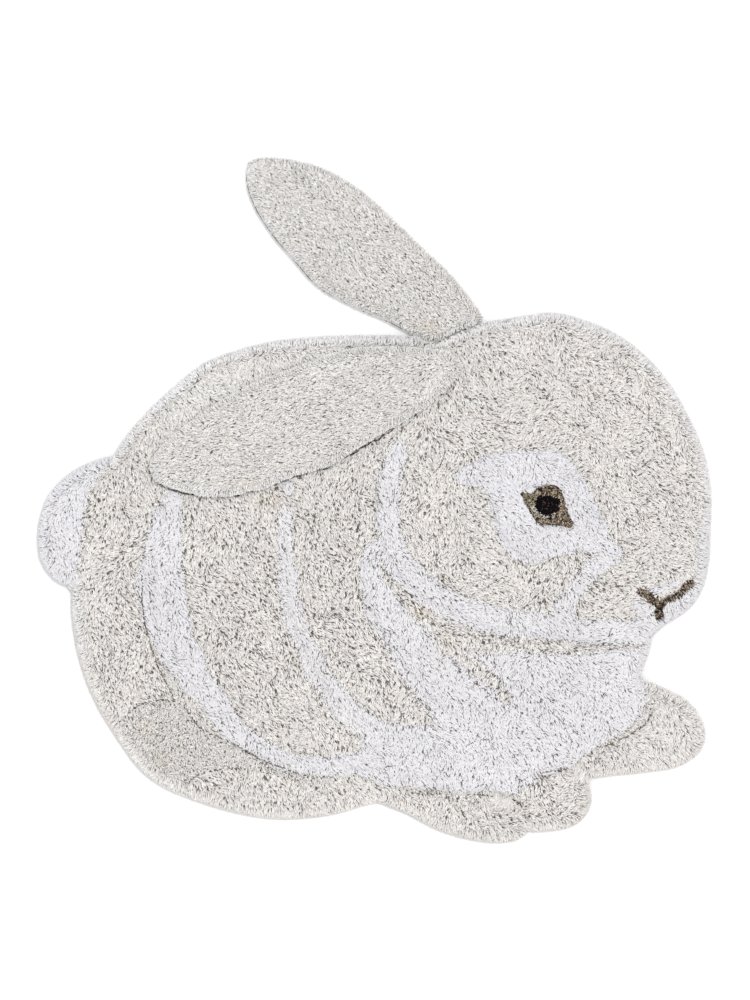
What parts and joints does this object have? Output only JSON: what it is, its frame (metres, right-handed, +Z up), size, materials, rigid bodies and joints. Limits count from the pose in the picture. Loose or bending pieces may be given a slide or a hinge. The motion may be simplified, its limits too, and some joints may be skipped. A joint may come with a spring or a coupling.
{
  "type": "rabbit-shaped tufted rug",
  "caption": "Flat shaggy floor rug in the outline of a resting rabbit, with one ear laid over its back and one ear lying clear of the head.",
  "frame": {"origin": "on the floor under the middle of the rug's overall box", "axes": "+X towards the nose, +Y towards the ears, +Z up out of the pile"},
  "size_m": [1.0797, 1.0982, 0.0304],
  "materials": {
    "pile_beige": "shaggy cut cotton pile, warm off-white, matt",
    "pile_white": "shaggy cut cotton pile, cool white, matt",
    "yarn_brown": "short dense brown pile of the eye and mouth, matt",
    "yarn_black": "short dense black pile of the pupil, matt"
  },
  "bodies": {
    "root": {"body": "pile_beige", "ear_raised": "pile_beige", "ear_lying": "pile_beige"}
  },
  "joints": []
}
